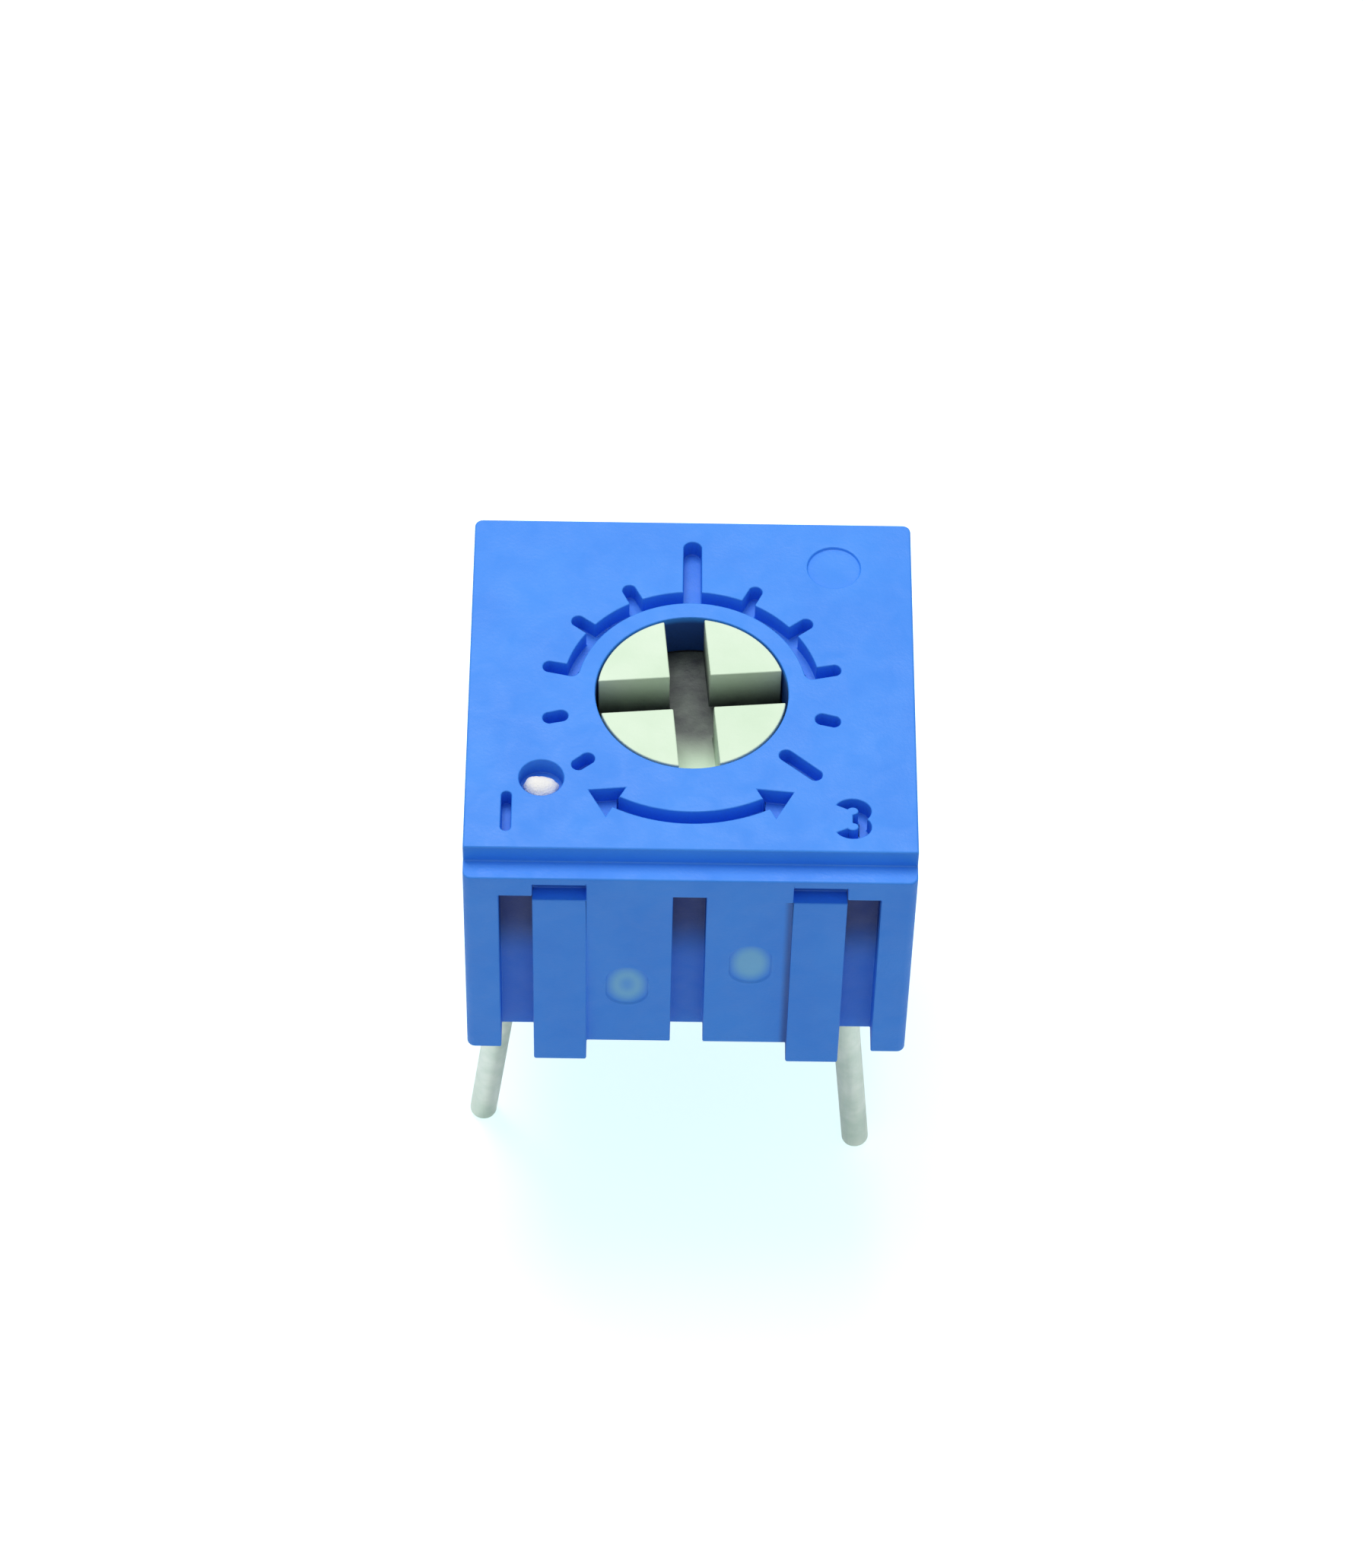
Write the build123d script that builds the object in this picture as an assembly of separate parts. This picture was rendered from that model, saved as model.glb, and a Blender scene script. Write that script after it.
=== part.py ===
from build123d import *
import math
import os

# Single-turn trimmer potentiometer, 6.6 mm square, top adjusted, three wire pins.
# Millimetres. X to the right, Y to the rear, Z up. The rotor turns about the Z axis.
# Z = 0 is the board's surface: the feet stand on it and the pins go down through it.

# Overall
body_width = 6.60
body_front = 3.25         # rotor axis to the front face
body_back = 3.30          # rotor axis to the rear face
body_height = 4.88        # board to the top surface
foot_height = 0.32
corner_radius = 0.12
edge_radius = 0.05
fit_gap = 0.03            # between pieces that are assembled but not bonded
run_gap = 0.05            # round the turning pieces inside the housing

# Step along the top front edge
step_depth = 0.32
step_drop = 0.32

# Walls
top_plate = 1.25
side_wall = 0.40
rear_wall = 0.38
groove_depth = 0.45
groove_skin = 0.20        # plastic left behind the front grooves
bore_inset = 0.04         # rotor bore inside the nearest pocket wall

# Pins, on the 2.54 grid
pin_pitch = 2.54
pin_setback = 1.27        # pins 1 and 3 behind the front face
pin_dia = 0.42
pin_reach = 3.87          # below the board's surface
pin_head_dia = 0.54
pin_head_thick = 0.14
solder_spread = 0.07      # solder beyond the pin's head
solder_drop = 0.12        # and below it
pin_end_chamfer = 0.05
pin_bend_radius = 0.9
pin_kink_drop = 0.35      # where each wire turns a second time, below the board's surface
pin_kinks = {1: (-0.26, 0.16), 2: (0.0, -0.05), 3: (-0.10, 0.0)}     # shift at that turn
pin_tips = {1: (-0.63, 0.45), 2: (0.0, 0.15), 3: (0.20, 0.0)}        # shift at the tip

# Front face
groove_width = 0.49
groove_top = 0.75         # below the top surface
rib_width = 0.79
pocket_top = 0.48         # below the top surface
rib_top = 0.84
pocket_depth = 0.24
panel_recess = 0.10       # at the wall's lower edge, running out to nothing at the step
panel_lift = 0.06
foot_depth = 0.48
dimple_width = 0.62
dimple_height = 0.94
dimple_depth = 0.04
dimple_left = (-0.90, 3.05)     # across, below the top surface
dimple_right = (0.92, 2.45)

# Marks in the top surface
mark_width = 0.21
mark_depth = 0.30
scale_gap = 0.31          # rotor edge to the scale's arc
scale_travel = 260.0      # degrees between the end ticks
tick_count = 11
free_ticks = 2            # ticks past the arc, at each end of it
tick_lead = 0.168         # ticks beside the arc start this far outside its inner radius
tick_reach = 0.55
top_tick_reach = 1.20
top_tick_width = 0.28
end_tick_reach = 0.76
digit_line = 0.15
digit_height = 0.72
digit_width = 0.54
bowl_angle = 240.0        # how far round each bowl of the 3 goes
bowl_turn = 30.0          # and how far its middle is turned from straight right
digit_one_place = (-2.69, -2.26)
digit_three_place = (2.35, -2.32)
arrow_radius = 2.34
arrow_half_angle = 28.0
arrow_head = 0.30         # half the width of each head
arrow_head_length = 0.45
gate_dia = 0.66
gate_depth = 0.30
gate_place = (-2.19, -1.64)
cavity_mark_dia = 0.80
cavity_mark_depth = 0.05
cavity_mark_place = (2.13, 2.44)

# Rotor
knob_dia = 2.80
slot_width = 0.60
slot_depth = 0.76
slot_turn = 5.0           # the cross slot's turn away from square at rest
flange_thick = 0.62
flange_below = 0.05       # rotor flange under the top plate
lug_reach = 0.34
stop_angle = 50.0         # width of the housing's stop
stop_gap = 0.5            # degrees left between lug and stop at each end of the travel
hub_dia = 0.90
hub_height = 0.22
seal_section = 0.46

# Element
wiper_sheet = 0.08
wiper_finger = 0.14
wiper_finger_pitch = 0.20
wiper_rim = 0.30          # width of the washer round the hub
finger_toe = 0.16         # length and height of each finger's turned-up end
track_finger_count = 4
collector_finger_count = 3
contact_gap = 0.02
track_radius = 1.85
track_width = 0.50
film_thick = 0.03
collector_dia = 1.50
collector_contact = 0.58
via_dia = 0.40
pad_width = 0.80
pad_inner = 1.02
substrate_thick = 0.60
wiper_room = 0.62         # rotor flange to the substrate's surface
pad_strip = 1.30          # length of the end pads on the underside
resin_recess = 0.14       # resin surface above the wall's lower edge

# Levels worked out from the sizes above
flange_top = body_height - top_plate - flange_below
flange_bottom = flange_top - flange_thick
substrate_top = flange_bottom - wiper_room
substrate_bottom = substrate_top - substrate_thick
film_top = substrate_top + film_thick
pad_under = substrate_bottom - film_thick
head_bottom = pad_under - pin_head_thick
resin_bottom = foot_height + resin_recess

# Plan sizes worked out from the sizes above
front_wall = groove_depth + groove_skin
pocket_x = body_width / 2 - side_wall
pocket_front = body_front - front_wall
pocket_back = body_back - rear_wall
bore_radius = min(pocket_x, pocket_front, pocket_back) - bore_inset
lug_radius = bore_radius - run_gap
flange_radius = lug_radius - lug_reach
knob_radius = knob_dia / 2
seal_outer = knob_radius + seal_section + 2 * fit_gap
scale_radius = knob_radius + scale_gap + mark_width / 2
pin_y = pin_setback - body_front
pin_places = {1: (-pin_pitch, pin_y), 2: (0.0, pin_y + pin_pitch), 3: (pin_pitch, pin_y)}
tip_z = -pin_reach
rib_outer = pin_pitch - groove_width / 2
rib_centre = rib_outer - rib_width / 2
overlap = 0.2             # how far cutting solids stand out of what they cut
tolerance = 0.01          # for picking edges by their place
wedge_spread = 1.5        # a wedge's radius against that of the tube it cuts
wedge_limit = 120.0       # degrees, above which the gap is cut out instead


def block(x0, x1, y0, y1, z0, z1):
    """A box between two opposite corners."""
    return Pos((x0 + x1) / 2, (y0 + y1) / 2, (z0 + z1) / 2) * Box(x1 - x0, y1 - y0, z1 - z0)


def disc(radius, z0, z1, x=0.0, y=0.0):
    """An upright cylinder between two levels."""
    return Pos(x, y, (z0 + z1) / 2) * Cylinder(radius, z1 - z0)


def ring(inner, outer, z0, z1):
    """An upright tube between two levels."""
    return disc(outer, z0, z1) - disc(inner, z0 - overlap, z1 + overlap)


def wedge(radius, middle, width, z0, z1):
    """An upright sector about the Z axis, centred on an angle in degrees."""
    half = math.radians(width / 2)
    reach = radius / math.cos(half / 2)
    points = [(0, 0)]
    for share in (-1, -0.5, 0, 0.5, 1):
        points.append((reach * math.cos(share * half), reach * math.sin(share * half)))
    face = make_face(Polyline(*points, close=True))
    return Pos(0, 0, z0) * Rot(0, 0, middle) * extrude(face, z1 - z0)


def arc_ring(inner, outer, middle, width, z0, z1):
    """A stretch of a tube, centred on an angle in degrees."""
    tube = ring(inner, outer, z0, z1)
    if width <= wedge_limit:
        return tube & wedge(outer * wedge_spread, middle, width, z0, z1)
    gap = 360 - width
    return tube - wedge(outer * wedge_spread, middle + 180, gap, z0 - overlap, z1 + overlap)


def tick(width, length, angle, inner):
    """A straight mark that runs outwards from a radius, with rounded ends."""
    mark = extrude(SlotOverall(length, width), mark_depth + overlap)
    return Rot(0, 0, angle) * Pos(inner + length / 2, 0, body_height - mark_depth) * mark


def scale_marks():
    """The arc and its ticks round the rotor."""
    z0 = body_height - mark_depth
    z1 = body_height + overlap
    inner = scale_radius - mark_width / 2
    first = 90 + scale_travel / 2
    spacing = scale_travel / (tick_count - 1)
    marks = arc_ring(inner, inner + mark_width, 90, scale_travel - 2 * free_ticks * spacing, z0, z1)
    for index in range(tick_count):
        width = mark_width
        reach = tick_reach
        start = inner
        if index in (0, 1, tick_count - 2):
            start = inner + tick_lead
            reach = tick_reach - tick_lead
        if index == tick_count - 1:
            reach = end_tick_reach
        if index == (tick_count - 1) / 2:
            width = top_tick_width
            reach = top_tick_reach
        marks += tick(width, reach, first - index * spacing, start)
    return marks


def digit_one(x, y):
    """An upright stroke, centred on a place in the top surface."""
    stroke = extrude(SlotOverall(digit_height, digit_line), mark_depth + overlap)
    return Pos(x, y, body_height - mark_depth) * Rot(0, 0, 90) * stroke


def digit_three(x, y):
    """Two bowls, one above the other, centred on a place in the top surface."""
    z0 = body_height - mark_depth
    bowl = (digit_height + digit_line) / 4
    upper = arc_ring(bowl - digit_line, bowl, bowl_turn, bowl_angle, z0, body_height + overlap)
    lower = arc_ring(bowl - digit_line, bowl, -bowl_turn, bowl_angle, z0, body_height + overlap)
    rise = bowl - digit_line / 2
    shape = Pos(0, rise, 0) * upper + Pos(0, -rise, 0) * lower
    return Pos(x, y, 0) * scale(shape, by=(digit_width / (2 * bowl), 1, 1))


def turn_arrow():
    """A curved arrow with a head at each end, on the rotor's own centre."""
    z0 = body_height - mark_depth
    z1 = body_height + overlap
    inner = arrow_radius - mark_width / 2
    shape = arc_ring(inner, inner + mark_width, 270, 2 * arrow_half_angle, z0, z1)
    head = make_face(Polyline((0, -arrow_head), (0, arrow_head), (arrow_head_length, 0), close=True))
    for side in (-1, 1):
        angle = 270 + side * arrow_half_angle
        place = Rot(0, 0, angle) * Pos(arrow_radius, 0, z0) * Rot(0, 0, side * 90)
        shape += place * extrude(head, mark_depth + overlap)
    return shape


def housing_shell():
    """The moulded block with its step, ribs, grooves and feet, before it is hollowed."""
    profile = Polyline(
        (-body_front, foot_height),
        (body_back, foot_height),
        (body_back, body_height),
        (step_depth - body_front, body_height),
        (step_depth - body_front, body_height - step_drop),
        (-body_front, body_height - step_drop),
        close=True,
    )
    side = Plane.YZ.offset(-body_width / 2) * make_face(profile)
    shell = extrude(side, body_width)
    upright = shell.edges().filter_by(Axis.Z)
    shell = fillet(upright.filter_by(lambda edge: abs(edge.center().Y) > body_front - tolerance), corner_radius)
    rims = shell.edges().filter_by(lambda edge: edge.center().Z > body_height - step_drop - tolerance)
    rims = rims.filter_by(lambda edge: abs(edge.tangent_at(0.5).Z) < 0.5)
    rims = rims.filter_by(
        lambda edge: edge.center().Z > body_height - tolerance or edge.center().Y < tolerance - body_front
    )
    shell = fillet(rims, edge_radius)
    return shell + housing_feet()


def housing_feet():
    """Four feet: the front pair carry on the ribs, the rear pair match them."""
    feet = []
    for side in (-1, 1):
        x0 = side * rib_centre - rib_width / 2
        for y0 in (-body_front, body_back - foot_depth):
            foot = block(x0, x0 + rib_width, y0, y0 + foot_depth, 0, foot_height + overlap)
            feet.append(chamfer(foot.faces().sort_by(Axis.Z)[0].edges(), edge_radius))
    return feet


def front_cuts():
    """Grooves, the pockets over the ribs, the drafted panels and their oval dimples."""
    cuts = []
    face_y = -body_front
    for column in (-1, 0, 1):
        x0 = column * pin_pitch - groove_width / 2
        cuts.append(block(
            x0, x0 + groove_width, face_y - overlap, face_y + groove_depth, -overlap, body_height - groove_top
        ))
    for side in (-1, 1):
        x0 = side * rib_centre - rib_width / 2
        cuts.append(block(
            x0, x0 + rib_width, face_y - overlap, face_y + pocket_depth,
            body_height - rib_top, body_height - pocket_top
        ))
    panel_half = rib_outer - rib_width
    panel = Polyline(
        (face_y, body_height - step_drop - edge_radius),
        (face_y + panel_recess, foot_height),
        (face_y + panel_recess, -overlap),
        (face_y - overlap, -overlap),
        (face_y - overlap, body_height - step_drop - edge_radius),
        close=True,
    )
    cuts.append(extrude(Plane.YZ.offset(-panel_half) * make_face(panel), 2 * panel_half))
    cuts.append(block(
        -panel_half, panel_half, face_y - overlap, face_y + front_wall, -overlap, foot_height + panel_lift
    ))
    for x, down in (dimple_left, dimple_right):
        share = (down - step_drop) / (body_height - step_drop - foot_height)
        depth = face_y + panel_recess * share + dimple_depth
        oval = extrude(SlotOverall(dimple_height, dimple_width), overlap)
        cuts.append(Pos(x, depth, body_height - down) * Rot(90, 0, 0) * Rot(0, 0, 90) * oval)
    return cuts


def make_housing():
    """Blue moulded case, open below, with the rotor's bore, seal pocket and stop."""
    shell = housing_shell()
    ledge = film_top
    plate_under = body_height - top_plate
    shell -= block(-pocket_x, pocket_x, -pocket_front, pocket_back, -overlap, ledge)
    shell -= disc(bore_radius, ledge - overlap, plate_under)
    shell -= disc(knob_radius + fit_gap, plate_under - overlap, body_height + overlap)
    shell -= disc(seal_outer, plate_under - overlap, plate_under + seal_section)
    shell += arc_ring(flange_radius + run_gap, bore_radius + overlap / 2, 270, stop_angle, ledge, plate_under)
    for cut in front_cuts():
        shell -= cut
    shell -= scale_marks()
    shell -= digit_one(*digit_one_place)
    shell -= digit_three(*digit_three_place)
    shell -= turn_arrow()
    shell -= disc(gate_dia / 2, body_height - gate_depth, body_height + overlap, *gate_place)
    shell -= disc(cavity_mark_dia / 2, body_height - cavity_mark_depth, body_height + overlap, *cavity_mark_place)
    return shell


def make_rotor():
    """Moulded rotor: knob with cross slot, flange with stop lug, and the hub that holds the wiper."""
    rotor = disc(knob_radius, flange_bottom, body_height)
    rotor = chamfer(rotor.edges().sort_by(Axis.Z)[-1], edge_radius / 2)
    rotor += disc(flange_radius, flange_bottom, flange_top)
    lug_width = 360 - scale_travel - stop_angle - 2 * stop_gap
    rotor += arc_ring(flange_radius - overlap, lug_radius, 90 + slot_turn, lug_width, flange_bottom, flange_top)
    rotor += disc(hub_dia / 2, flange_bottom - hub_height, flange_bottom)
    slot = block(
        -knob_dia, knob_dia, -slot_width / 2, slot_width / 2, body_height - slot_depth, body_height + overlap
    )
    cross = slot + Rot(0, 0, 90) * slot
    return rotor - Rot(0, 0, slot_turn) * cross


def make_seal_ring():
    """Silicone ring in the pocket under the top plate."""
    level = body_height - top_plate + seal_section / 2
    return Pos(0, 0, level) * Torus(knob_radius + fit_gap + seal_section / 2, seal_section / 2)


def finger(start, end, drop_to):
    """One contact finger: a sheet strip that slopes from the plate down to a contact point."""
    high = flange_bottom - wiper_sheet
    low = drop_to + contact_gap
    outward = 1 if end > start else -1
    tip = end + outward * finger_toe
    profile = Polyline(
        (start, high),
        (start, high + wiper_sheet),
        (start + outward * wiper_sheet, high + wiper_sheet),
        (end, low + wiper_sheet),
        (tip, low + finger_toe),
        (tip, low + wiper_sheet),
        (end, low),
        (start + outward * wiper_sheet, high),
        close=True,
    )
    return extrude(Plane.XZ.offset(-wiper_finger / 2) * make_face(profile), wiper_finger)


def make_wiper():
    """Stamped spring contact: a washer on the rotor's hub, with two combs of fingers."""
    plate_radius = hub_dia / 2 + wiper_rim
    plate = ring(hub_dia / 2 + fit_gap, plate_radius, flange_bottom - wiper_sheet, flange_bottom)
    shape = plate
    spread = (track_finger_count - 1) / 2
    for index in range(track_finger_count):
        comb = finger(plate_radius - wiper_sheet, track_radius, film_top)
        shape += Pos(0, (index - spread) * wiper_finger_pitch, 0) * comb
    spread = (collector_finger_count - 1) / 2
    for index in range(collector_finger_count):
        comb = finger(-plate_radius + wiper_sheet, -collector_contact, film_top)
        shape += Pos(0, (index - spread) * wiper_finger_pitch, 0) * comb
    return Rot(0, 0, 90 + slot_turn) * shape


def make_substrate():
    """Alumina plate with the centre hole for the collector."""
    plate = block(
        fit_gap - pocket_x, pocket_x - fit_gap,
        fit_gap + film_thick - pocket_front, pocket_back - fit_gap,
        substrate_bottom, substrate_top
    )
    return plate - disc(via_dia / 2, substrate_bottom - overlap, substrate_top + overlap)


def make_resistive_track():
    """Printed cermet horseshoe, open towards the front."""
    half = track_width / 2
    return arc_ring(track_radius - half, track_radius + half, 90, scale_travel, substrate_top, film_top)


def make_end_pad(side, track):
    """Printed conductor from one end of the track round the front edge to the pin."""
    edge_y = fit_gap + film_thick - pocket_front
    face_y = edge_y - film_thick
    inner = side * pad_inner
    outer = side * (pad_inner + pad_width)
    x0 = min(inner, outer)
    x1 = max(inner, outer)
    track_end = -track_radius * math.sin(math.radians(scale_travel / 2 - 90))
    top = block(x0, x1, face_y, track_end + track_width / 2, substrate_top, film_top) - track
    edge = block(x0, x1, face_y, edge_y, substrate_bottom, substrate_top)
    pin_side = side * (pin_pitch + pin_head_dia / 2)
    under = block(
        min(inner, pin_side), max(inner, pin_side), face_y, face_y + pad_strip, pad_under, substrate_bottom
    )
    return top + edge + under


def make_collector():
    """Centre contact, the filled hole under it and the strip to pin 2."""
    half = pin_head_dia / 2
    strip = block(-half, half, -half, pin_places[2][1] + half, pad_under, substrate_bottom)
    return disc(collector_dia / 2, substrate_top, film_top) + disc(via_dia / 2, pad_under, film_top) + strip


def make_pin(place, kink, end):
    """Tinned wire with a flat head, straight down through the resin, then slightly bent twice."""
    x, y = place
    path = FilletPolyline(
        (x, y, head_bottom),
        (x, y, resin_bottom),
        (x + kink[0], y + kink[1], -pin_kink_drop),
        (x + end[0], y + end[1], tip_z),
        radius=pin_bend_radius,
    )
    wire = sweep(Plane(origin=(x, y, head_bottom), z_dir=(0, 0, -1)) * Circle(pin_dia / 2), path)
    tip = wire.faces().sort_by(Axis.Z)[0]
    wire = chamfer(tip.edges(), pin_end_chamfer)
    return wire + disc(pin_head_dia / 2, head_bottom, pad_under, x, y)


def make_solder(place):
    """Solder cone round one pin's head."""
    x, y = place
    height = pin_head_thick + solder_drop
    foot = pin_dia / 2 + fit_gap
    return Pos(x, y, pad_under - height / 2) * Cone(foot, pin_head_dia / 2 + solder_spread, height)


def make_resin(others):
    """Epoxy that fills the underside up to the substrate."""
    fill = block(-pocket_x, pocket_x, -pocket_front, pocket_back, resin_bottom, substrate_bottom)
    for other in others:
        fill -= other
    return fill


nodes = {}
nodes["housing"] = make_housing()
nodes["rotor"] = make_rotor()
nodes["seal_ring"] = make_seal_ring()
nodes["wiper"] = make_wiper()
nodes["substrate"] = make_substrate()
nodes["resistive_track"] = make_resistive_track()
nodes["collector"] = make_collector()
for number, side in ((1, -1), (3, 1)):
    nodes[f"end_pad_{number}"] = make_end_pad(side, nodes["resistive_track"])
for number, place in pin_places.items():
    nodes[f"pin_{number}"] = make_pin(place, pin_kinks[number], pin_tips[number])
    nodes[f"solder_{number}"] = make_solder(place) - nodes[f"pin_{number}"]
buried = [nodes[name] for name in ("collector", "end_pad_1", "end_pad_3")]
for number in pin_places:
    buried.append(nodes[f"pin_{number}"])
    buried.append(nodes[f"solder_{number}"])
nodes["potting_resin"] = make_resin(buried)

os.makedirs("parts", exist_ok=True)
for name, shape in nodes.items():
    export_step(shape, f"parts/{name}.step")
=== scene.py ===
import math

import bmesh
import bpy
import numpy as np
from mathutils import Matrix, Vector


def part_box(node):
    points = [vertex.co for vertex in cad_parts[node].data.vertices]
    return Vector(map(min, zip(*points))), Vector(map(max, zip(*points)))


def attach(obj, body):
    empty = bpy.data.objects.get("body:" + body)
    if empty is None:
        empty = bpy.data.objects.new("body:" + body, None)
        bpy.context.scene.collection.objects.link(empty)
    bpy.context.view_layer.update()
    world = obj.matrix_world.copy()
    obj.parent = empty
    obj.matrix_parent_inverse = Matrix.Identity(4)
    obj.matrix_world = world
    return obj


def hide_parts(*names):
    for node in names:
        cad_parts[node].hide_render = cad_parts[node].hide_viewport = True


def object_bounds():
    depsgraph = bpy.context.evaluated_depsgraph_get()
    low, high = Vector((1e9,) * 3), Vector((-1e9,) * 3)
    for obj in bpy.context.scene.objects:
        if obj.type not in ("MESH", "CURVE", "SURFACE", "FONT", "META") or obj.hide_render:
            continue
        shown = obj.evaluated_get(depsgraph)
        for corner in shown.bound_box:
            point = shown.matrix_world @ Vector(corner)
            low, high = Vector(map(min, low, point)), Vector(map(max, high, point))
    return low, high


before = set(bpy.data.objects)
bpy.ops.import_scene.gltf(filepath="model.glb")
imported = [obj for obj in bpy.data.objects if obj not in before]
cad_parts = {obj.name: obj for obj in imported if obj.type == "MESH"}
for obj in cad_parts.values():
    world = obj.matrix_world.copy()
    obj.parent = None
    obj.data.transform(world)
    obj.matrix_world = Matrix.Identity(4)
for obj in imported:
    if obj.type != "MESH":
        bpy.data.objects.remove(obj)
cad_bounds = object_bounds()
MM = 0.001

# ---------------------------------------------------------------- camera
# A long lens looks down on the part from the pin 1 and pin 3 side, a little turned and a little rolled.
# It stands where the case's top, front and both side edges converge as they should.
CAMERA_DISTANCE = 77.72 * MM
CAMERA_ELEVATION = math.radians(52.16)
CAMERA_TURN = math.radians(0.76)
CAMERA_ROLL = math.radians(1.39)
CAMERA_AIM = (0.1175 * MM, 1.5129 * MM)      # from the view's centre to the case's top centre
LENS_TO_WIDTH = 3.851

case_low, case_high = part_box("housing")
STEP_DEPTH = 0.32 * MM
top_centre = Vector((0, (case_low.y + STEP_DEPTH + case_high.y) / 2, case_high.z))


def turned(x, y, z):
    """A direction in the camera's level frame, given in the part's frame."""
    cos_turn, sin_turn = math.cos(CAMERA_TURN), math.sin(CAMERA_TURN)
    return Vector((x * cos_turn + y * sin_turn, y * cos_turn - x * sin_turn, z))


right = turned(1, 0, 0)
up = turned(0, math.sin(CAMERA_ELEVATION), math.cos(CAMERA_ELEVATION))
back = turned(0, -math.cos(CAMERA_ELEVATION), math.sin(CAMERA_ELEVATION))
camera_place = top_centre - right * CAMERA_AIM[0] - up * CAMERA_AIM[1] + back * CAMERA_DISTANCE
rolled_right = right * math.cos(CAMERA_ROLL) + up * math.sin(CAMERA_ROLL)
rolled_up = up * math.cos(CAMERA_ROLL) - right * math.sin(CAMERA_ROLL)
camera_data = bpy.data.cameras.new("camera")
camera_data.sensor_fit = "HORIZONTAL"
camera_data.sensor_width = 36.0
camera_data.lens = camera_data.sensor_width * LENS_TO_WIDTH
camera_data.clip_start = 5 * MM
camera_data.clip_end = 2.0
camera = bpy.data.objects.new("camera", camera_data)
pose = Matrix((rolled_right, rolled_up, back)).transposed().to_4x4()
pose.translation = camera_place
camera.matrix_world = pose
bpy.context.scene.collection.objects.link(camera)
bpy.context.scene.camera = camera

# ---------------------------------------------------------------- floor, sky and lamps
# A white table under a white sky, with one large soft lamp high over the part and a little behind it, and a
# weak fill lamp in front. The floor shows white to the camera and keeps a faint cool shadow by the part.
SKY_STRENGTH = 0.42
BACK_LAMP_WATTS = 0.058
BACK_LAMP_SIZE = 56 * MM
BACK_LAMP_PLACE = (-9 * MM, 30 * MM, 98 * MM)
FILL_LAMP_WATTS = 0.005
FILL_LAMP_SIZE = 90 * MM
FILL_LAMP_PLACE = (30 * MM, -100 * MM, 55 * MM)
FLOOR_SIZE = 3.0
FLOOR_ALBEDO = "#E8ECEC"
FLOOR_GLOW = "#D8F7F7"
FLOOR_GLOW_STRENGTH = 0.80
FLOOR_GLOW_IN_GLOSS = 0.20                   # enough to bring the lit floor up to white in a reflection


def linear(code):
    """The linear colour of an sRGB hex code."""
    values = [int(code[i:i + 2], 16) / 255 for i in (1, 3, 5)]
    return tuple(v / 12.92 if v <= 0.04045 else ((v + 0.055) / 1.055) ** 2.4 for v in values) + (1.0,)


def add_node(tree, kind, settings=None, **inputs):
    """A node with its settings, and its inputs as values or as sockets to link. Spaces are written as _."""
    node = tree.nodes.new(kind)
    for key, value in (settings or {}).items():
        setattr(node, key, value)
    for key, value in inputs.items():
        slot = int(key[1:]) if key[0] == "i" and key[1:].isdigit() else key.replace("_", " ")
        if isinstance(value, bpy.types.NodeSocket):
            tree.links.new(value, node.inputs[slot])
        else:
            node.inputs[slot].default_value = value
    return node


def new_material(name):
    """An empty node material, its tree and its output node."""
    material = bpy.data.materials.new(name)
    material.use_nodes = True
    material.node_tree.nodes.clear()
    return material, material.node_tree, material.node_tree.nodes.new("ShaderNodeOutputMaterial")


def add_object(name, mesh, material=None):
    """A mesh as an object in the scene, with its material."""
    obj = bpy.data.objects.new(name, mesh)
    bpy.context.scene.collection.objects.link(obj)
    if material is not None:
        mesh.materials.clear()
        mesh.materials.append(material)
    return obj


world = bpy.data.worlds.new("white_room")
world.use_nodes = True
world.node_tree.nodes.clear()
path = add_node(world.node_tree, "ShaderNodeLightPath")
seen = add_node(world.node_tree, "ShaderNodeMath", {"operation": "MAXIMUM"}, i0=path.outputs["Is Camera Ray"],
                i1=path.outputs["Is Glossy Ray"])
seen = add_node(world.node_tree, "ShaderNodeMath", {"operation": "MAXIMUM"}, i0=seen.outputs[0],
                i1=path.outputs["Is Transmission Ray"])
level = add_node(world.node_tree, "ShaderNodeMapRange", None, Value=seen.outputs[0], To_Min=SKY_STRENGTH, To_Max=1.0)
sky = add_node(world.node_tree, "ShaderNodeBackground", None, Color=linear("#FFFFFF"), Strength=level.outputs[0])
out = add_node(world.node_tree, "ShaderNodeOutputWorld", None, Surface=sky.outputs[0])
bpy.context.scene.world = world

floor_paint, tree, out = new_material("white_table")
path = add_node(tree, "ShaderNodeLightPath")
lit = add_node(tree, "ShaderNodeBsdfDiffuse", None, Color=linear(FLOOR_ALBEDO))
power = add_node(tree, "ShaderNodeMapRange", None, Value=path.outputs["Is Camera Ray"], To_Min=FLOOR_GLOW_IN_GLOSS,
                 To_Max=FLOOR_GLOW_STRENGTH)
glow = add_node(tree, "ShaderNodeEmission", None, Color=linear(FLOOR_GLOW), Strength=power.outputs[0])
both = add_node(tree, "ShaderNodeAddShader", None, i0=lit.outputs[0], i1=glow.outputs[0])
shown = add_node(tree, "ShaderNodeMath", {"operation": "MAXIMUM"}, i0=path.outputs["Is Camera Ray"],
                 i1=path.outputs["Is Glossy Ray"])
shown = add_node(tree, "ShaderNodeMath", {"operation": "MAXIMUM"}, i0=shown.outputs[0],
                 i1=path.outputs["Is Transmission Ray"])
mixed = add_node(tree, "ShaderNodeMixShader", None, i0=shown.outputs[0], i1=lit.outputs[0], i2=both.outputs[0])
tree.links.new(mixed.outputs[0], out.inputs["Surface"])
floor_mesh = bpy.data.meshes.new("floor")
half = FLOOR_SIZE / 2
floor_z = cad_bounds[0][2]
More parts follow.
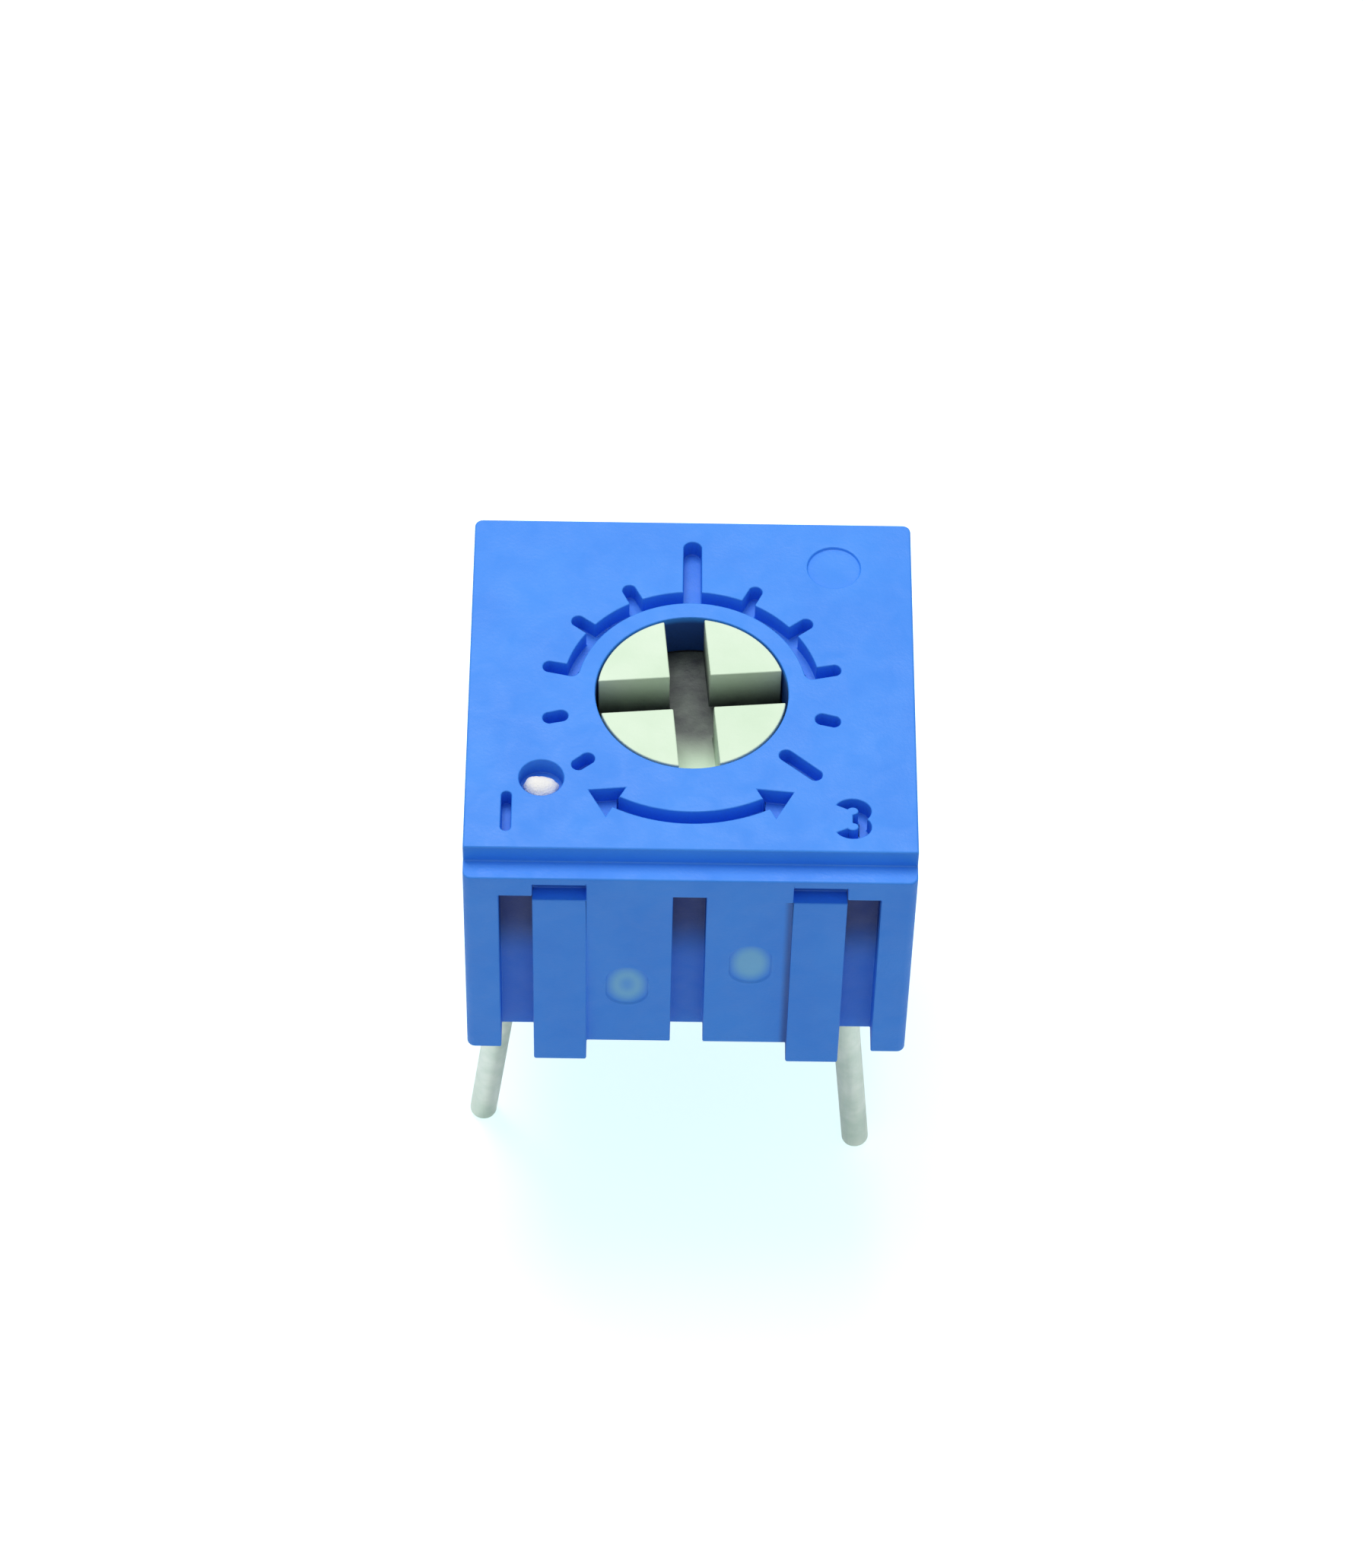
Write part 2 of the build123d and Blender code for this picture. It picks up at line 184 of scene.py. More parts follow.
floor_corners = [(-half, -half, floor_z), (half, -half, floor_z), (half, half, floor_z), (-half, half, floor_z)]
floor_mesh.from_pydata(floor_corners, [], [(0, 1, 2, 3)])
add_object("floor", floor_mesh, floor_paint)


def soft_lamp(name, place, size, watts):
    """A square lamp that faces the part."""
    data = bpy.data.lights.new(name, "AREA")
    data.size = size
    data.energy = watts
    lamp = bpy.data.objects.new(name, data)
    lamp.location = place
    lamp.rotation_euler = (Vector(place) - top_centre).to_track_quat("Z", "Y").to_euler()
    bpy.context.scene.collection.objects.link(lamp)


soft_lamp("back_lamp", BACK_LAMP_PLACE, BACK_LAMP_SIZE, BACK_LAMP_WATTS)
soft_lamp("fill_lamp", FILL_LAMP_PLACE, FILL_LAMP_SIZE, FILL_LAMP_WATTS)
view = bpy.context.scene.view_settings
view.view_transform = "Standard"

# ---------------------------------------------------------------- case
# The case is one injection moulding in blue glass-filled polyester. Its block has a step along the top
# front edge, three wire grooves and two ribs in front, and is hollow below for the element and the resin.
CASE_CORNER = 0.12
CASE_EDGE = 0.05
STEP_DROP = 0.32
FOOT_HEIGHT = 0.32
FOOT_DEPTH = 0.48
PITCH = 2.54
GROOVE_WIDTH, GROOVE_DEPTH, GROOVE_TOP = 0.49, 0.45, 0.75
RIB_WIDTH, POCKET_TOP, RIB_TOP, POCKET_DEPTH = 0.79, 0.48, 0.84, 0.24
PANEL_RECESS, PANEL_LIFT = 0.10, 0.06
FRONT_WALL, SIDE_WALL, REAR_WALL = 0.65, 0.40, 0.38
DIMPLES = ((-0.90, 3.05), (0.92, 2.45))
DIMPLE_WIDTH, DIMPLE_HEIGHT, DIMPLE_DEPTH = 0.62, 0.94, 0.04
MARK_WIDTH, MARK_DEPTH = 0.21, 0.30
SCALE_INNER = 1.71
SCALE_TRAVEL, TICK_COUNT = 260.0, 11
BORE_RADIUS = 2.56
SEAL_RADIUS, SEAL_DEPTH = 1.92, 0.46
TOP_PLATE = 1.25
KNOB_RADIUS = 1.40
ROUND = 128                                  # sides of a full circle
CUT = 0.2                                    # how far a cutter stands out of what it cuts
WELD = 0.002                                 # corners nearer than this are one
TICK_INSET = 0.008                           # keeps a tick's round end off the arc's inner edge
TICK_LEAD = 0.8                              # share of the arc's width that a free tick starts outside it
TICK_REACH, END_TICK_REACH = 0.55, 0.76
MIDDLE_TICK_REACH, MIDDLE_TICK_WIDTH = 1.20, 0.28
DIGIT_LINE, DIGIT_HEIGHT = 0.15, 0.72
ONE_PLACE, ONE_REACH = (-2.69, -2.26), 0.285
THREE_PLACE, THREE_HALF_WIDTH = (2.35, -2.32), 0.27
ARROW_RADIUS, ARROW_HALF_ANGLE = 2.34, 28.0
ARROW_HEAD, ARROW_HEAD_STRETCH = 0.30, 1.5
GATE_PLACE, GATE_RADIUS, GATE_DEPTH = (-2.19, -1.64), 0.33, 0.30
CAVITY_PLACE, CAVITY_RADIUS, CAVITY_DEPTH = (2.13, 2.44), 0.40, 0.05
SMALL_ROUND = 64                             # sides of a small full circle
RUNNING_GAP = 0.03
STOP_WIDTH, STOP_BITE, STOP_START, STOP_SWEEP = 0.36, 0.1, 245, 50
BROKEN_EDGE = 0.02
SAME = 0.001                                 # levels nearer than this are one

low, high = case_low / MM, case_high / MM
face_y = low.y
ledge_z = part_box("resistive_track")[1].z / MM


def closed_mesh(name, bm):
    """A mesh from a bmesh, still in millimetres, with its faces turned outwards."""
    bmesh.ops.recalc_face_normals(bm, faces=bm.faces)
    mesh = bpy.data.meshes.new(name)
    bm.to_mesh(mesh)
    bm.free()
    return mesh


def in_metres(mesh):
    """A finished mesh brought from millimetres to metres."""
    mesh.transform(Matrix.Scale(MM, 4))
    return mesh


def prism(name, outline, axis, start, end):
    """An outline in millimetres pushed along an axis: X takes (y, z), Y takes (x, z) and Z takes (x, y)."""
    place = {"X": lambda a, b, c: (c, a, b), "Y": lambda a, b, c: (a, c, b), "Z": lambda a, b, c: (a, b, c)}[axis]
    bm = bmesh.new()
    ends = [[bm.verts.new(place(a, b, level)) for a, b in outline] for level in (start, end)]
    bm.faces.new(ends[0])
    bm.faces.new(ends[1])
    for i in range(len(outline)):
        j = (i + 1) % len(outline)
        bm.faces.new((ends[0][i], ends[0][j], ends[1][j], ends[1][i]))
    return closed_mesh(name, bm)


def block(x0, x1, y0, y1, z0, z1):
    """A box cutter between two corners."""
    return prism("block", ((x0, y0), (x1, y0), (x1, y1), (x0, y1)), "Z", z0, z1)


def circle(radius, x=0.0, y=0.0, sides=ROUND, start=0.0, sweep=360.0):
    """Points on a circle or an arc of one."""
    count = sides if sweep == 360.0 else max(2, round(sides * abs(sweep) / 360))
    turns = [math.radians(start + sweep * i / count) for i in range(count if sweep == 360.0 else count + 1)]
    return [(x + radius * math.cos(t), y + radius * math.sin(t)) for t in turns]


def arc_band(inner, outer, start, sweep, x=0.0, y=0.0, stretch=1.0):
    """The outline of a stretch of a ring."""
    band = circle(outer, 0, 0, ROUND, start, sweep) + circle(inner, 0, 0, ROUND, start + sweep, -sweep)
    return [(x + a * stretch, y + b) for a, b in band]


def combined(target, cutters, operation):
    """Cuts or joins meshes one after the other and gives the result as a mesh."""
    obj = add_object("work", target)
    helpers = []
    for cutter in cutters:
        helper = add_object("helper", cutter)
        step = obj.modifiers.new("step", "BOOLEAN")
        step.object = helper
        step.operation = operation
        step.solver = "EXACT"
        helpers.append(helper)
    graph = bpy.context.evaluated_depsgraph_get()
    mesh = bpy.data.meshes.new_from_object(obj.evaluated_get(graph))
    for helper in helpers + [obj]:
        bpy.data.objects.remove(helper)
    return mesh


def mended(mesh, weld, flatten, ceiling=None):
    """Welds near corners, drops stray edges and closes pinholes.
    With a ceiling, the mesh stays in the case's box."""
    bm = bmesh.new()
    bm.from_mesh(mesh)
    bmesh.ops.remove_doubles(bm, verts=bm.verts, dist=weld)
    bmesh.ops.dissolve_degenerate(bm, edges=bm.edges, dist=weld / 2)
    if flatten:
        bmesh.ops.dissolve_limit(bm, angle_limit=math.radians(1), verts=bm.verts, edges=bm.edges)
    bmesh.ops.delete(bm, geom=[e for e in bm.edges if not e.link_faces], context="EDGES")
    bmesh.ops.holes_fill(bm, edges=[e for e in bm.edges if e.is_boundary], sides=0)
    bmesh.ops.recalc_face_normals(bm, faces=bm.faces)
    for v in bm.verts if ceiling else ():
        v.co = Vector(max(a, min(b, c)) for a, b, c in zip(low, (high.x, high.y, ceiling), v.co))
    bm.to_mesh(mesh)
    bm.free()
    return mesh


def tick_tree():
    """Geometry nodes that set rounded marks along an arc: each is a cylinder drawn out along its radius."""
    tree = bpy.data.node_groups.new("ticks", "GeometryNodeTree")
    tree.interface.new_socket("Geometry", in_out="OUTPUT", socket_type="NodeSocketGeometry")
    for name in ("First", "Spacing", "Start", "Length", "Width", "Depth", "Level"):
        tree.interface.new_socket(name, in_out="INPUT", socket_type="NodeSocketFloat")
    tree.interface.new_socket("Count", in_out="INPUT", socket_type="NodeSocketInt")
    tree.interface.new_socket("Material", in_out="INPUT", socket_type="NodeSocketMaterial")
    source = tree.nodes.new("NodeGroupInput").outputs
    half_width = add_node(tree, "ShaderNodeMath", {"operation": "MULTIPLY"}, i0=source["Width"], i1=0.5)
    mark = add_node(tree, "GeometryNodeMeshCylinder", {"fill_type": "NGON"}, Vertices=24,
                    Radius=half_width.outputs[0], Depth=source["Depth"])
    where = add_node(tree, "GeometryNodeInputPosition")
    split = add_node(tree, "ShaderNodeSeparateXYZ", None, Vector=where.outputs[0])
    outer = add_node(tree, "ShaderNodeMath", {"operation": "GREATER_THAN"}, i0=split.outputs["X"], i1=1e-6)
    extra = add_node(tree, "ShaderNodeMath", {"operation": "SUBTRACT"}, i0=source["Length"], i1=source["Width"])
    stretch = add_node(tree, "ShaderNodeMath", {"operation": "MULTIPLY"}, i0=outer.outputs[0], i1=extra.outputs[0])
    begin = add_node(tree, "ShaderNodeMath", {"operation": "ADD"}, i0=source["Start"], i1=half_width.outputs[0])
    slide = add_node(tree, "ShaderNodeMath", {"operation": "ADD"}, i0=stretch.outputs[0], i1=begin.outputs[0])
    shift = add_node(tree, "ShaderNodeCombineXYZ", None, X=slide.outputs[0], Z=source["Level"])
    drawn = add_node(tree, "GeometryNodeSetPosition", None, Geometry=mark.outputs["Mesh"], Offset=shift.outputs[0])
    points = add_node(tree, "GeometryNodeMeshLine", None, Count=source["Count"], Offset=(0, 0, 0))
    index = add_node(tree, "GeometryNodeInputIndex")
    turn = add_node(tree, "ShaderNodeMath", {"operation": "MULTIPLY_ADD"}, i0=index.outputs[0], i1=source["Spacing"],
                    i2=source["First"])
    euler = add_node(tree, "ShaderNodeCombineXYZ", None, Z=turn.outputs[0])
    copies = add_node(tree, "GeometryNodeInstanceOnPoints", None, Points=points.outputs[0],
                      Instance=drawn.outputs[0], Rotation=euler.outputs[0])
    real = add_node(tree, "GeometryNodeRealizeInstances", None, Geometry=copies.outputs[0])
    painted = add_node(tree, "GeometryNodeSetMaterial", None, Geometry=real.outputs[0], Material=source["Material"])
    tree.links.new(painted.outputs[0], tree.nodes.new("NodeGroupOutput").inputs[0])
    return tree


TICKS = tick_tree()


def ticks(first, spacing, count, start, length, width, material):
    """Rounded marks cut into the top, from the tree above."""
    obj = add_object("ticks", bpy.data.meshes.new("ticks"))
    modifier = obj.modifiers.new("ticks", "NODES")
    modifier.node_group = TICKS
    values = {"First": math.radians(first), "Spacing": math.radians(spacing), "Count": count, "Start": start,
              "Length": length, "Width": width, "Depth": MARK_DEPTH + CUT, "Material": material,
              "Level": high.z + (CUT - MARK_DEPTH) / 2}
    for item in TICKS.interface.items_tree:
        if item.in_out == "INPUT":
            modifier[item.identifier] = values[item.name]
    graph = bpy.context.evaluated_depsgraph_get()
    mesh = bpy.data.meshes.new_from_object(obj.evaluated_get(graph))
    bpy.data.objects.remove(obj)
    return mesh


def fine_moulding(name, colour, pale, roughness, grain_mm, bump, paint=None):
    """Moulded plastic: a faint cloudy tone, a spark-eroded grain in the skin and rubbed patches.
    paint may recolour the base before it reaches the shader."""
    material, tree, out = new_material(name)
    place = add_node(tree, "ShaderNodeTexCoord").outputs["Object"]
    cloud = add_node(tree, "ShaderNodeTexNoise", None, Vector=place, Scale=0.9 / MM, Detail=3.0)
    tone = add_node(tree, "ShaderNodeMapRange", None, Value=cloud.outputs[0], From_Min=0.35, From_Max=0.68)
    base = add_node(tree, "ShaderNodeMix", {"data_type": "RGBA"}, Factor=tone.outputs[0], i6=linear(colour),
                    i7=linear(pale)).outputs[2]
    if paint is not None:
        base = paint(tree, place, base)
    grain = add_node(tree, "ShaderNodeTexNoise", None, Vector=place, Scale=1 / (grain_mm * MM), Detail=2.0,
                     Roughness=0.6)
    rub = add_node(tree, "ShaderNodeTexNoise", None, Vector=place, Scale=2.4 / MM, Detail=4.0, Distortion=0.6)
    rough = add_node(tree, "ShaderNodeMapRange", None, Value=rub.outputs[0], From_Min=0.3, From_Max=0.7,
                     To_Min=roughness - 0.07, To_Max=roughness + 0.08)
    relief = add_node(tree, "ShaderNodeBump", None, Strength=bump, Distance=0.012 * MM, Height=grain.outputs[0])
    swell = add_node(tree, "ShaderNodeBump", None, Strength=bump, Distance=0.02 * MM, Height=cloud.outputs[0],
                     Normal=relief.outputs[0])
    shader = add_node(tree, "ShaderNodeBsdfPrincipled", None, Base_Color=base, Roughness=rough.outputs[0], IOR=1.52,
                      Normal=swell.outputs[0])
    tree.links.new(shader.outputs[0], out.inputs["Surface"])
    return material


CASE_BLUE, CASE_PALE, CASE_WITNESS = "#328CF8", "#3892FC", "#7CC4EE"
CASE_SHADE = "#0D2070"
FACE_ZONE = 0.2                              # how deep behind the front plane still counts as the front
DIMPLE_CORES = (0.10, -0.20)                 # one dimple is a ring round a darker core, the other is whole
DIMPLE_FADE, DIMPLE_SHARE = (0.14, 0.36), 0.85
# painted shade in the wire grooves: where it falls off below their tops, and how strong it is
GROOVE_SHADE_FALL, GROOVE_SHADE_SHARE = (2.3, 0.85), (0.15, 0.92)
MARGIN = 0.01
RIB_SHADE, RIB_SHADE_SHARE = (0.14, 0.02), 0.6
GAP_SHADE, GAP_SHADE_SHARE = (0.03, 0.16), 0.8
MARK_SHADE, MARK_SHADE_SHARE = (0.03, 0.20), 0.15


def front_marks_and_painted_shade(tree, place, base):
    """Paler skin in the two dimples of the front, one whole and one a ring. Painted shade lies in the wire grooves,
    darkest at their closed upper ends, along the right rib, in the gap round the rotor and in the top's marks."""
    split = add_node(tree, "ShaderNodeSeparateXYZ", None, Vector=place)
    front = add_node(tree, "ShaderNodeMath", {"operation": "LESS_THAN"}, i0=split.outputs["Y"],
                     i1=(face_y + FACE_ZONE) * MM)
    squeezed = add_node(tree, "ShaderNodeMath", {"operation": "MULTIPLY"}, i0=split.outputs["Z"],
                        i1=DIMPLE_WIDTH / DIMPLE_HEIGHT)
    for (x, down), inner in zip(DIMPLES, DIMPLE_CORES):
        flat = add_node(tree, "ShaderNodeCombineXYZ", None, X=split.outputs["X"], Y=squeezed.outputs[0])
        away = add_node(tree, "ShaderNodeVectorMath", {"operation": "DISTANCE"}, i0=flat.outputs[0],
                        i1=(x * MM, (high.z - down) * DIMPLE_WIDTH / DIMPLE_HEIGHT * MM, 0))
        edge = add_node(tree, "ShaderNodeMapRange", {"interpolation_type": "SMOOTHSTEP"}, Value=away.outputs["Value"],
                        From_Min=DIMPLE_FADE[0] * MM, From_Max=DIMPLE_FADE[1] * MM, To_Min=1.0, To_Max=0.0)
        core = add_node(tree, "ShaderNodeMapRange", {"interpolation_type": "SMOOTHSTEP"}, Value=away.outputs["Value"],
                        From_Min=(inner - 0.10) * MM, From_Max=(inner + 0.08) * MM, To_Min=0.45, To_Max=1.0)
        share = add_node(tree, "ShaderNodeMath", {"operation": "MULTIPLY"}, i0=edge.outputs[0], i1=core.outputs[0])
        share = add_node(tree, "ShaderNodeMath", {"operation": "MULTIPLY"}, i0=share.outputs[0], i1=front.outputs[0])
        share = add_node(tree, "ShaderNodeMath", {"operation": "MULTIPLY"}, i0=share.outputs[0],
                         i1=DIMPLE_SHARE)
        base = add_node(tree, "ShaderNodeMix", {"data_type": "RGBA"}, Factor=share.outputs[0], i6=base,
                        i7=linear(CASE_WITNESS)).outputs[2]
    # Painted shade in the three wire grooves, darkest at their closed upper ends.
    inside = add_node(tree, "ShaderNodeMapRange", {"interpolation_type": "SMOOTHSTEP"}, Value=split.outputs["Y"],
                      From_Min=(face_y + 0.05) * MM, From_Max=(face_y + GROOVE_DEPTH - 0.03) * MM)
    outer = add_node(tree, "ShaderNodeMapRange", None, Value=split.outputs["Y"],
                     From_Min=(face_y + GROOVE_DEPTH + 0.03) * MM, From_Max=(face_y + GROOVE_DEPTH + 0.06) * MM,
                     To_Min=1.0, To_Max=0.0)
    fall = add_node(tree, "ShaderNodeMapRange", {"interpolation_type": "SMOOTHERSTEP"}, Value=split.outputs["Z"],
                    From_Min=(high.z - GROOVE_TOP - GROOVE_SHADE_FALL[0]) * MM,
                    From_Max=(high.z - GROOVE_TOP - GROOVE_SHADE_FALL[1]) * MM,
                    To_Min=GROOVE_SHADE_SHARE[0], To_Max=GROOVE_SHADE_SHARE[1])
    grooves = add_node(tree, "ShaderNodeMath", {"operation": "LESS_THAN"}, i0=split.outputs["Z"],
                       i1=(high.z - GROOVE_TOP + MARGIN) * MM)
    across = add_node(tree, "ShaderNodeMath", {"operation": "ABSOLUTE"}, i0=split.outputs["X"])
    within = add_node(tree, "ShaderNodeMath", {"operation": "LESS_THAN"}, i0=across.outputs[0],
                      i1=(PITCH + GROOVE_WIDTH / 2 + MARGIN) * MM)
    for part in (outer, fall, grooves, within):
        inside = add_node(tree, "ShaderNodeMath", {"operation": "MULTIPLY"}, i0=inside.outputs[0], i1=part.outputs[0])
    base = add_node(tree, "ShaderNodeMix", {"data_type": "RGBA"}, Factor=inside.outputs[0], i6=base,
                    i7=linear(CASE_SHADE)).outputs[2]
    # Painted shade: a thin dark line on the panel along the right rib's inner edge.
    foot_x = PITCH - GROOVE_WIDTH / 2 - RIB_WIDTH
    line = add_node(tree, "ShaderNodeMapRange", {"interpolation_type": "SMOOTHSTEP"}, Value=split.outputs["X"],
                    From_Min=(foot_x - RIB_SHADE[0]) * MM, From_Max=(foot_x - RIB_SHADE[1]) * MM, To_Min=0.0,
                    To_Max=RIB_SHADE_SHARE)
    beyond = add_node(tree, "ShaderNodeMath", {"operation": "LESS_THAN"}, i0=split.outputs["X"],
                      i1=(foot_x + 0.004) * MM)
    under = add_node(tree, "ShaderNodeMath", {"operation": "LESS_THAN"}, i0=split.outputs["Z"],
                     i1=(high.z - RIB_TOP) * MM)
    for part in (beyond, under, front):
        line = add_node(tree, "ShaderNodeMath", {"operation": "MULTIPLY"}, i0=line.outputs[0], i1=part.outputs[0])
    base = add_node(tree, "ShaderNodeMix", {"data_type": "RGBA"}, Factor=line.outputs[0], i6=base,
                    i7=linear(CASE_SHADE)).outputs[2]
    # Painted shade on the wall of the rotor's hole, darker below the top.
    level = add_node(tree, "ShaderNodeCombineXYZ", None, X=split.outputs["X"], Y=split.outputs["Y"])
    radius = add_node(tree, "ShaderNodeVectorMath", {"operation": "LENGTH"}, i0=level.outputs[0])
    hole = add_node(tree, "ShaderNodeMath", {"operation": "LESS_THAN"}, i0=radius.outputs["Value"],
                    i1=(KNOB_RADIUS + 0.04) * MM)
    deep = add_node(tree, "ShaderNodeMapRange", {"interpolation_type": "SMOOTHSTEP"}, Value=split.outputs["Z"],
                    From_Min=(high.z - GAP_SHADE[0]) * MM, From_Max=(high.z - GAP_SHADE[1]) * MM, To_Min=0.0,
                    To_Max=GAP_SHADE_SHARE)
    hole = add_node(tree, "ShaderNodeMath", {"operation": "MULTIPLY"}, i0=hole.outputs[0], i1=deep.outputs[0])
    # Painted shade in the marks and recesses cut into the top, away from its rims.
    sunk = add_node(tree, "ShaderNodeMapRange", {"interpolation_type": "SMOOTHSTEP"}, Value=split.outputs["Z"],
                    From_Min=(high.z - MARK_SHADE[0]) * MM, From_Max=(high.z - MARK_SHADE[1]) * MM, To_Min=0.0,
                    To_Max=MARK_SHADE_SHARE)
    marks = add_node(tree, "ShaderNodeMath", {"operation": "GREATER_THAN"}, i0=split.outputs["Z"],
                     i1=(high.z - MARK_DEPTH - MARGIN) * MM)
    behind = add_node(tree, "ShaderNodeMath", {"operation": "GREATER_THAN"}, i0=split.outputs["Y"],
                      i1=(face_y + STEP_DEPTH / MM + 0.1) * MM)
    before = add_node(tree, "ShaderNodeMath", {"operation": "LESS_THAN"}, i0=split.outputs["Y"],
                      i1=(high.y - 0.2) * MM)
    inset = add_node(tree, "ShaderNodeMath", {"operation": "LESS_THAN"}, i0=across.outputs[0],
                     i1=(high.x - 0.2) * MM)
    for part in (marks, behind, before, inset):
        sunk = add_node(tree, "ShaderNodeMath", {"operation": "MULTIPLY"}, i0=sunk.outputs[0], i1=part.outputs[0])
    hole = add_node(tree, "ShaderNodeMath", {"operation": "MAXIMUM"}, i0=hole.outputs[0], i1=sunk.outputs[0])
    return add_node(tree, "ShaderNodeMix", {"data_type": "RGBA"}, Factor=hole.outputs[0], i6=base,
                    i7=linear(CASE_SHADE)).outputs[2]


# Glass-filled polyester from a spark-eroded mould: semi-matt, with a fine even grain and a faint cloudiness.
# The grain is drawn at 0.05 mm, about twice its real size, so that it shows.
# Painted shade is added in the front grooves, along the right rib, in the rotor's gap and in the top's marks.
case_plastic = fine_moulding("moulded_blue_polyester", CASE_BLUE, CASE_PALE, 0.50, 0.05, 0.35, front_marks_and_painted_shade)


def case_block():
    """The outer block with its step, rounded at its corners and rims."""
    bm = bmesh.new()
    step_y, step_z, wall_z = face_y + STEP_DEPTH / MM, high.z - STEP_DROP, low.z + FOOT_HEIGHT
    outline = ((face_y, wall_z), (high.y, wall_z), (high.y, high.z), (step_y, high.z), (step_y, step_z),
               (face_y, step_z))
    bm.from_mesh(prism("case", outline, "X", low.x, high.x))
    upright = [e for e in bm.edges if abs(e.verts[0].co.z - e.verts[1].co.z) > 1
               and min(abs(e.verts[0].co.y - face_y), abs(e.verts[0].co.y - high.y)) < SAME]
    bmesh.ops.bevel(bm, geom=upright, offset=CASE_CORNER, segments=5, profile=0.5, affect="EDGES", clamp_overlap=True)
    rims = [e for e in bm.edges if len(e.link_faces) == 2 and e.calc_face_angle(0) > 0.8
            and (min(v.co.z for v in e.verts) > high.z - SAME
                 or max(abs(v.co.z - step_z) for v in e.verts) < SAME
                 and max(v.co.y for v in e.verts) < step_y - CASE_EDGE)]
    bmesh.ops.bevel(bm, geom=rims, offset=CASE_EDGE, segments=3, profile=0.5, affect="EDGES", clamp_overlap=True)
    return closed_mesh("case", bm)


def case_feet():
    """Four feet, the front pair under the ribs, each with its lower rim eased."""
    feet = []
    rib_inner = PITCH - GROOVE_WIDTH / 2 - RIB_WIDTH
    for side in (-1, 1):
        x0, x1 = sorted((side * rib_inner, side * (rib_inner + RIB_WIDTH)))
        for y0 in (low.y, high.y - FOOT_DEPTH):
            bm = bmesh.new()
            bm.from_mesh(block(x0, x1, y0, y0 + FOOT_DEPTH, low.z, low.z + FOOT_HEIGHT + CUT))
            rim = [e for e in bm.edges if max(v.co.z for v in e.verts) < low.z + SAME]
            bmesh.ops.bevel(bm, geom=rim, offset=CASE_EDGE, segments=3, profile=0.5, affect="EDGES")
            feet.append(closed_mesh("foot", bm))
    return feet


def front_cutters():
    """The three wire grooves, the pockets over the ribs, the drafted panels and the two dimples."""
    cutters = []
    rib_inner = PITCH - GROOVE_WIDTH / 2 - RIB_WIDTH
    for column in (-1, 0, 1):
        x0 = column * PITCH - GROOVE_WIDTH / 2
        cutters.append(block(x0, x0 + GROOVE_WIDTH, face_y - CUT, face_y + GROOVE_DEPTH, low.z - CUT,
                             high.z - GROOVE_TOP))
    for side in (-1, 1):
        x0, x1 = sorted((side * rib_inner, side * (rib_inner + RIB_WIDTH)))
        cutters.append(block(x0, x1, face_y - CUT, face_y + POCKET_DEPTH, high.z - RIB_TOP, high.z - POCKET_TOP))
    panel_z = high.z - STEP_DROP - CASE_EDGE
    wall_z = low.z + FOOT_HEIGHT
    draft = ((face_y, panel_z), (face_y + PANEL_RECESS, wall_z), (face_y + PANEL_RECESS, low.z - CUT),
             (face_y - CUT, low.z - CUT), (face_y - CUT, panel_z))
    cutters.append(prism("panel", draft, "X", -rib_inner, rib_inner))
    cutters.append(block(-rib_inner, rib_inner, face_y - CUT, face_y + FRONT_WALL, low.z - CUT, wall_z + PANEL_LIFT))
    for x, down in DIMPLES:
        share = (down - STEP_DROP) / (high.z - STEP_DROP - wall_z)
        depth = face_y + PANEL_RECESS * share + DIMPLE_DEPTH
        reach = (DIMPLE_HEIGHT - DIMPLE_WIDTH) / 2
        slot = (circle(DIMPLE_WIDTH / 2, x, high.z - down + reach, SMALL_ROUND, 0, 180)
                + circle(DIMPLE_WIDTH / 2, x, high.z - down - reach, SMALL_ROUND, 180, 180))
        cutters.append(prism("dimple", slot, "Y", depth - CUT, depth))
    return cutters


